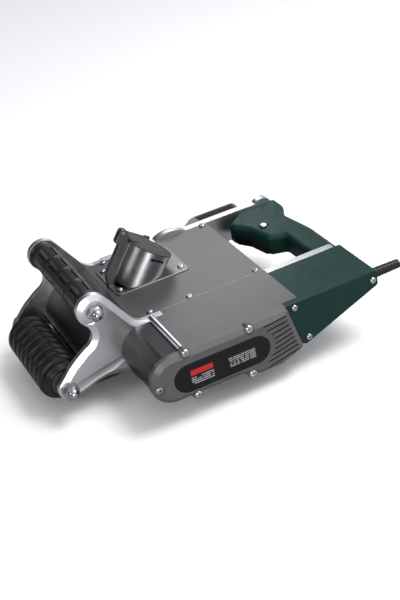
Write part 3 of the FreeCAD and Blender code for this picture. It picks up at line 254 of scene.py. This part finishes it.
def plate_black():
    """Black plate printed with rows of plain grey dashes in two blocks and one plain red bar.

    The blocks and the bar are placed by shares of the plate's length and height.
    """
    shade = Shader("plate_black")
    low, high = (Vector(corner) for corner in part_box("rating_plate"))
    place = shade.node("ShaderNodeSeparateXYZ")
    shade.link(shade.coords, place.inputs[0])
    along = shade.spread(place.outputs["Y"], low.y, high.y)
    up = shade.spread(place.outputs["Z"], low.z, high.z)

    def within(value, start, stop):
        return shade.times(shade.math("GREATER_THAN", value, start), shade.math("LESS_THAN", value, stop))

    def block(front, rear, foot, top):
        return shade.times(within(along, front, rear), within(up, foot, top))

    rows_on_plate = 14.0
    rows = within(shade.math("FRACT", shade.times(up, rows_on_plate), 0.0), 0.2, 0.7)
    streaks = shade.noise(330.0, 1.0, shade.stretched((0.02, 1.0, 0.4)))
    dashes = shade.math("GREATER_THAN", streaks, 0.42)
    blocks = shade.math("MAXIMUM", block(0.17, 0.40, 0.22, 0.48), block(0.56, 0.84, 0.30, 0.66))
    printed = shade.times(shade.times(rows, dashes), blocks)
    base = shade.mix(shade.noise(14.0), (0.005, 0.005, 0.006), (0.009, 0.008, 0.009))
    tone = shade.mix(printed, base, (0.34, 0.34, 0.34))
    red_bar = block(0.17, 0.40, 0.55, 0.74)
    tone = shade.mix(red_bar, tone, (0.45, 0.02, 0.02))
    normal = shade.bump(shade.noise(900.0, 2.0), 0.01 * MM, shade.rounded_normal(0.4 * MM))
    return shade.finish(tone, 0.34, normal, specular=0.18)


def laminations(name):
    """Stacked steel sheets: fine bands along the shaft with varnish between them."""
    shade = Shader(name)
    wave = shade.node("ShaderNodeTexWave", bands_direction="X")
    wave.inputs["Scale"].default_value = 320.0
    wave.inputs["Distortion"].default_value = 0.4
    shade.link(shade.coords, wave.inputs["Vector"])
    bands = wave.outputs["Fac"]
    tone = shade.mix(bands, (0.10, 0.09, 0.09), (0.33, 0.33, 0.35))
    normal = shade.bump(bands, 0.05 * MM, shade.rounded_normal(0.3 * MM))
    return shade.finish(tone, 0.42, normal, metallic=0.9)


def copper():
    """Wound copper under varnish: strands along the coil."""
    shade = Shader("copper")
    strands = shade.noise(900.0, 2.0, shade.stretched((0.08, 1, 1)))
    tone = shade.mix(shade.spread(strands, 0.35, 0.65), (0.30, 0.11, 0.05), (0.78, 0.36, 0.18))
    normal = shade.bump(strands, 0.2 * MM, shade.rounded_normal(0.5 * MM))
    return shade.finish(tone, 0.3, normal, metallic=1.0, coat=0.4)


MATERIALS = {
    "cast_aluminium": metal("cast_aluminium", (0.72, 0.72, 0.73), (0.62, 0.62, 0.64), 0.33, 0.08,
                            grain=420.0, depth=0.008 * MM, edge=0.5 * MM),
    "grey_paint": satin_paint("grey_paint", (0.128, 0.125, 0.129), (0.118, 0.115, 0.119), 0.34, 0.70,
                              bare=(0.42, 0.42, 0.43), wear=0.3),
    # cover_paint is grey_paint again for the side cover, a touch darker and less metallic: painted shade
    # for the side face, which is less lit than the top plate
    "cover_paint": satin_paint("cover_paint", (0.125, 0.122, 0.126), (0.112, 0.110, 0.113), 0.34, 0.60,
                               bare=(0.42, 0.42, 0.43), wear=0.3),
    "bright_strip": metal("bright_strip", (0.62, 0.62, 0.64), (0.46, 0.46, 0.48), 0.26,
                          grain=600.0, stretch=(0.05, 1, 1)),
    "black_paint": satin_paint("black_paint", (0.016, 0.015, 0.017), (0.010, 0.009, 0.011), 0.40, 0.2,
                               bare=(0.16, 0.16, 0.165), wear=0.4),
    "polished_steel": metal("polished_steel", (0.78, 0.79, 0.81), (0.62, 0.63, 0.65), 0.12, 0.06,
                            grain=500.0, depth=0.006 * MM, stretch=(0.05, 1, 1)),
    "plate_black": plate_black(),
    "steel": metal("steel", (0.58, 0.58, 0.60), (0.42, 0.42, 0.44), 0.28, grain=800.0,
                   stretch=(1, 0.1, 0.1), depth=0.02 * MM),
    "drum_steel": metal("drum_steel", (0.34, 0.33, 0.34), (0.20, 0.19, 0.20), 0.38, 0.16,
                        grain=300.0, depth=0.05 * MM, edge_colour=(0.60, 0.60, 0.61)),
    "carbide": metal("carbide", (0.46, 0.45, 0.43), (0.30, 0.29, 0.28), 0.34, 0.12, grain=1200.0,
                     edge_colour=(0.72, 0.72, 0.72)),
    "pulley_aluminium": metal("pulley_aluminium", (0.66, 0.67, 0.69), (0.52, 0.53, 0.55), 0.30),
    "belt_rubber": moulded("belt_rubber", (0.028, 0.028, 0.029), (0.016, 0.016, 0.017), 0.62),
    "lamination": laminations("lamination"),
    "copper": copper(),
    "carbon": moulded("carbon", (0.07, 0.07, 0.07), (0.04, 0.04, 0.04), 0.5),
    "brass": metal("brass", (0.76, 0.58, 0.26), (0.58, 0.42, 0.18), 0.26),
    "dark_plastic": moulded("dark_plastic", (0.012, 0.012, 0.013), (0.007, 0.007, 0.008), 0.36,
                            scuff=(0.05, 0.05, 0.05)),
    "dark_metal": metal("dark_metal", (0.27, 0.26, 0.27), (0.20, 0.19, 0.20), 0.33, 0.06, grain=360.0,
                        depth=0.008 * MM, edge=0.7 * MM),
    "lid_grey": moulded("lid_grey", (0.040, 0.039, 0.041), (0.032, 0.031, 0.033), 0.46,
                        scuff=(0.08, 0.08, 0.08)),
    "grip_rubber": moulded("grip_rubber", (0.009, 0.008, 0.009), (0.005, 0.005, 0.006), 0.34,
                           grain=900.0, depth=0.03 * MM, edge=0.4 * MM, scuff=(0.030, 0.030, 0.032),
                           shine=0.32),
    "nylon": moulded("nylon", (0.05, 0.05, 0.055), (0.03, 0.03, 0.035), 0.42),
    "zinc": metal("zinc", (0.56, 0.56, 0.58), (0.36, 0.36, 0.38), 0.15, 0.08, grain=420.0,
                  depth=0.015 * MM, edge=0.4 * MM),
    "green_plastic": moulded("green_plastic", (0.006, 0.034, 0.027), (0.004, 0.023, 0.019), 0.38,
                             grain=1300.0, depth=0.035 * MM, edge=0.8 * MM, scuff=(0.025, 0.07, 0.06)),
}
KNURLED = moulded("grip_knurl", (0.045, 0.045, 0.047), (0.012, 0.012, 0.013), 0.36, grain=1100.0,
                  depth=0.5 * MM, shine=0.5)


def dress_nodes():
    for entry in frame["record"]["subparts"]:
        mesh = NODES[entry["node"]].data
        mesh.materials.clear()
        mesh.materials.append(MATERIALS[entry["material_slot"]])


dress_nodes()


# ---- trigger spring -------------------------------------------------------------------
def return_spring():
    """Coil of the trigger spring, copied into its own mesh and hung on the spring's body in place of the
    CAD node.
    """
    made = add_object("return_spring", NODES["trigger_spring"].data.copy())
    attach(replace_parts(made, "trigger_spring"), body_of("trigger_spring"))
    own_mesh(made)


return_spring()


# ---- rubber pieces --------------------------------------------------------------------
def smooth(value):
    """0 below 0, 1 above 1 and an even S between."""
    value = min(1.0, max(0.0, value))
    return value * value * (3 - 2 * value)


def sleeve(node, axis, step, sides, bore, radius_at, knurled_at=None):
    """Rubber sleeve that stands for a turned CAD node.

    radius_at(x, turn) is the outer radius and knurled_at(x, turn) says where the knurled finish goes,
    with x measured along the axis from the sleeve's middle. A plain round sleeve ignores the turn.
    """
    low, high = (Vector(corner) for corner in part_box(node))
    middle, half = (low + high) / 2, (high[axis] - low[axis]) / 2
    count = round(2 * half / step)
    outside = [(-half + 2 * half * i / count, None) for i in range(count + 1)]
    stations = [(-half, bore)] + outside + [(half, bore)]
    verts, faces = [], []
    for x, fixed in stations:
        for k in range(sides):
            turn = 2 * math.pi * k / sides
            radius = radius_at(x, turn) if fixed is None else fixed
            spoke = Vector((0.0, radius * math.cos(turn), radius * math.sin(turn)))
            if axis == 1:
                spoke = Vector((radius * math.sin(turn), 0.0, radius * math.cos(turn)))
            spoke[axis] = x
            verts.append(middle + spoke)
    for i in range(len(stations)):
        here, after = i * sides, (i + 1) % len(stations) * sides
        for k in range(sides):
            beside = (k + 1) % sides
            faces.append((here + k, here + beside, after + beside, after + k))
    mesh = bpy.data.meshes.new(node + "_rubber")
    mesh.from_pydata(verts, [], faces)
    mesh.materials.append(MATERIALS["grip_rubber"])
    mesh.materials.append(KNURLED)
    for face in mesh.polygons:
        face.use_smooth = True
        station, k = divmod(face.index, sides)
        if knurled_at and knurled_at(stations[station][0], 2 * math.pi * k / sides):
            face.material_index = 1
    made = add_object(node + "_rubber", mesh)
    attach(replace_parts(made, node), body_of(node))


# front grip: two ringed collars with flared lips, and between them four segments parted by
# grooves, each with a row of long sunk windows and a knurled strip beside each window
GRIP_HALF = extent("front_grip", 0) / 2
GRIP_R = 17.2 * MM
GRIP_COLLAR = 9.0 * MM
COLLAR_DROP = 0.6 * MM
LIP_HEIGHT, LIP_LENGTH = 3.0 * MM, 5.0 * MM
RING_HEIGHT, RING_PITCH = 0.5 * MM, 3.0 * MM
GRIP_SEGMENTS = 4
SEGMENT = 2 * (GRIP_HALF - GRIP_COLLAR) / GRIP_SEGMENTS
GROOVE_DEPTH, GROOVE_REACH = 1.0 * MM, 1.6 * MM
WINDOWS = 6                                          # round the grip
WINDOW_OFFSET = 0.35                                 # shares of the pitch that they are turned by
WINDOW_WIDTH, WINDOW_HALF = 4.0 * MM, SEGMENT * 0.36
WINDOW_DEPTH, WINDOW_SLOPE = 1.8 * MM, 0.7 * MM
RIM_HEIGHT, RIM_OUT, RIM_REACH = 0.7 * MM, 0.5 * MM, 0.9 * MM
STRIP_WIDTH, STRIP_GAP, STRIP_HALF = 4.2 * MM, 1.4 * MM, SEGMENT * 0.4


def window_place(x, turn):
    """Distance of a point of the grip from the nearest long window's middle, along and across."""
    along = (x + GRIP_HALF - GRIP_COLLAR) % SEGMENT - SEGMENT / 2
    span = 2 * math.pi / WINDOWS
    return along, ((turn + span * WINDOW_OFFSET) % span - span / 2) * GRIP_R


def window_reach(x, turn):
    """How far a point of the grip lies inside the nearest long window; negative outside."""
    along, across = window_place(x, turn)
    return min(WINDOW_HALF - abs(along), WINDOW_WIDTH / 2 - abs(across))


def grip_radius(x, turn):
    from_end = GRIP_HALF - abs(x)
    if from_end < GRIP_COLLAR:
        lip = LIP_HEIGHT * smooth(1 - from_end / LIP_LENGTH)
        rings = RING_HEIGHT * abs(math.sin(math.pi * from_end / RING_PITCH))
        return GRIP_R - COLLAR_DROP + lip + rings * smooth(from_end / RING_PITCH)
    along = (x + GRIP_HALF - GRIP_COLLAR) % SEGMENT
    groove = GROOVE_DEPTH * (1 - smooth(min(along, SEGMENT - along) / GROOVE_REACH))
    reach = window_reach(x, turn)
    rim = RIM_HEIGHT * max(0.0, 1 - abs(reach + RIM_OUT) / RIM_REACH)
    return GRIP_R - groove + rim - WINDOW_DEPTH * smooth(reach / WINDOW_SLOPE)


def grip_knurled(x, turn):
    """True on the strip beside a window."""
    along, across = window_place(x, turn)
    start = -WINDOW_WIDTH / 2 - STRIP_GAP
    on_segment = GRIP_HALF - abs(x) > GRIP_COLLAR and abs(along) < STRIP_HALF
    return on_segment and start - STRIP_WIDTH < across < start


# roller tyre: groups of raised ribs on a plain drum with rounded ends
TYRE_HALF = extent("roller_tyre", 0) / 2
TYRE_R, TYRE_LOW, TYRE_END_DROP = 29.0 * MM, 24.6 * MM, 4.4 * MM
TYRE_RIBS = (2, 3, 3)                                # ribs in each group
TYRE_GAP, TYRE_WIDE_GAP, TYRE_END = 2.4 * MM, 4.6 * MM, 7.0 * MM
RIB_SQUARENESS = 4


def tyre_ribs():
    """Start and end of each rib along the roller."""
    gaps = TYRE_WIDE_GAP * (len(TYRE_RIBS) + 1) + TYRE_GAP * (sum(TYRE_RIBS) - len(TYRE_RIBS))
    width = (2 * TYRE_HALF - 2 * TYRE_END - gaps) / sum(TYRE_RIBS)
    ribs = []
    x = -TYRE_HALF + TYRE_END
    for count in TYRE_RIBS:
        x += TYRE_WIDE_GAP
        for _ in range(count):
            ribs.append((x, x + width))
            x += width + TYRE_GAP
        x -= TYRE_GAP
    return ribs


RIBS = tyre_ribs()


def tyre_radius(x, turn):
    from_end = TYRE_HALF - abs(x)
    shoulder = TYRE_LOW - TYRE_END_DROP * (1 - smooth(from_end / TYRE_END))
    for start, stop in RIBS:
        if start <= x <= stop:
            offset = 2 * (x - start) / (stop - start) - 1
            return TYRE_LOW + (TYRE_R - TYRE_LOW) * (1 - offset ** RIB_SQUARENESS) ** 0.5
    return shoulder


BOOT_ROOT_R, BOOT_R, BOOT_SLOPE = 5.2 * MM, 6.6 * MM, 0.02
BOOT_COLLAR_END, BOOT_COLLAR = -12.0 * MM, 5.5 * MM
BOOT_RING_DEPTH, BOOT_RING_PITCH = 0.7 * MM, 4.0 * MM


def boot_radius(x, turn):
    """Strain relief: a plain root inside the housing, a collar, then a slow taper with ring grooves."""
    if x < BOOT_COLLAR_END - BOOT_COLLAR:
        return BOOT_ROOT_R
    taper = BOOT_R - BOOT_SLOPE * (x - BOOT_COLLAR_END)
    groove = BOOT_RING_DEPTH * smooth(1 - abs((x / BOOT_RING_PITCH) % 1 - 0.5) * 4)
    return taper - (groove if x > BOOT_COLLAR_END else 0.0)


sleeve("front_grip", axis=0, step=0.6 * MM, sides=192, bore=5.3 * MM, radius_at=grip_radius,
       knurled_at=grip_knurled)
sleeve("roller_tyre", axis=0, step=0.55 * MM, sides=128, bore=17.0 * MM, radius_at=tyre_radius)
sleeve("cable_boot", axis=1, step=0.5 * MM, sides=64, bore=4.0 * MM, radius_at=boot_radius)


# ---- stage ----------------------------------------------------------------------------
FLOOR_HALF = 6.0
FLOOR_GAP = 0.5 * MM                                 # below the tool's lowest point
TOOL_MIDDLE = (Vector(CAD_BOX[0]) + Vector(CAD_BOX[1])) / 2
PLATE_REAR = SPINDLE + Vector((0.02, 0.175, 0.05))   # near the top plate's rear edge
BRIGHT_SIDE = Vector((0.35, 0.80, 0.50)).normalized()
SENSOR_WIDTH, LENS = 36.0, 74.67
CAMERA_PLACE = SPINDLE + Vector((1.32347, -0.37727, 0.84989))
CAMERA_TURN = Euler((1.01746, 0.15590, 1.11164))


def floor_material():
    """Matt floor, pale to the camera and darker to all other rays.

    So it throws little light back up at the tool's undersides.
    """
    shade = Shader("floor_white")
    tone = shade.mix(shade.noise(1.2, 2.0), (0.90, 0.90, 0.90), (0.885, 0.885, 0.885))
    seen = shade.node("ShaderNodeLightPath").outputs["Is Camera Ray"]
    tone = shade.mix(seen, (0.34, 0.34, 0.345), tone)
    return shade.finish(tone, 0.7, shade.bump(shade.noise(60.0, 2.0), 0.02 * MM))


def floor():
    bottom = CAD_BOX[0][2] - FLOOR_GAP
    signs = [(-1, -1), (1, -1), (1, 1), (-1, 1)]
    mesh = bpy.data.meshes.new("floor")
    mesh.from_pydata([(FLOOR_HALF * x, FLOOR_HALF * y, bottom) for x, y in signs], [], [(0, 1, 2, 3)])
    mesh.materials.append(floor_material())
    add_object("floor", mesh)


def area_light(name, direction, distance, size, power, middle=TOOL_MIDDLE):
    """Soft box that looks at the given point from the given direction."""
    data = bpy.data.lights.new(name, "AREA")
    data.shape = "RECTANGLE"
    data.size, data.size_y = size
    data.energy = power
    towards = Vector(direction).normalized()
    made = add_object(name, data)
    made.location = middle + towards * distance
    made.rotation_euler = (-towards).to_track_quat("-Z", "Y").to_euler()


def surroundings():
    """Studio world that brightens from the tool's front left to its rear right and overhead.

    The camera itself sees an even pale backdrop.
    """
    world = bpy.data.worlds.new("studio")
    world.use_nodes = True
    tree = world.node_tree
    background = tree.nodes["Background"]
    background.inputs["Color"].default_value = (0.95, 0.96, 1.0, 1.0)
    direction = tree.nodes.new("ShaderNodeTexCoord").outputs["Generated"]
    dot = tree.nodes.new("ShaderNodeVectorMath")
    dot.operation = "DOT_PRODUCT"
    dot.inputs[1].default_value = BRIGHT_SIDE
    tree.links.new(direction, dot.inputs[0])
    ramp = tree.nodes.new("ShaderNodeMapRange")
    ramp.interpolation_type = "SMOOTHSTEP"
    set_range(ramp, -0.3, 1.0, 0.08, 1.25)
    tree.links.new(dot.outputs["Value"], ramp.inputs["Value"])
    backdrop = tree.nodes.new("ShaderNodeMix")
    backdrop.inputs["B"].default_value = 1.0
    seen = tree.nodes.new("ShaderNodeLightPath").outputs["Is Camera Ray"]
    tree.links.new(seen, backdrop.inputs["Factor"])
    tree.links.new(ramp.outputs["Result"], backdrop.inputs["A"])
    tree.links.new(backdrop.outputs["Result"], background.inputs["Strength"])
    bpy.context.scene.world = world


def lights():
    area_light("key", direction=(0.25, 0.75, 1.4), distance=2.0, size=(1.2, 0.9), power=36.0)
    area_light("right", direction=(0.93, -0.36, 0.02), distance=1.6, size=(0.35, 0.9), power=13.0)
    area_light("front", direction=(0.2, -1.0, 0.6), distance=1.8, size=(0.6, 0.5), power=6.0)
    area_light("card", direction=(-0.82, 0.27, 0.51), distance=0.6, size=(0.30, 0.30), power=0.4,
               middle=PLATE_REAR)


def camera():
    """Long lens, about 1.6 metres away, above the belt side and slightly rolled."""
    data = bpy.data.cameras.new("camera")
    data.sensor_width = SENSOR_WIDTH
    data.lens = LENS
    data.clip_start = 0.05
    made = add_object("camera", data)
    made.location = CAMERA_PLACE
    made.rotation_euler = CAMERA_TURN
    bpy.context.scene.camera = made


floor()
lights()
surroundings()
camera()
bpy.context.scene.view_settings.view_transform = "Standard"
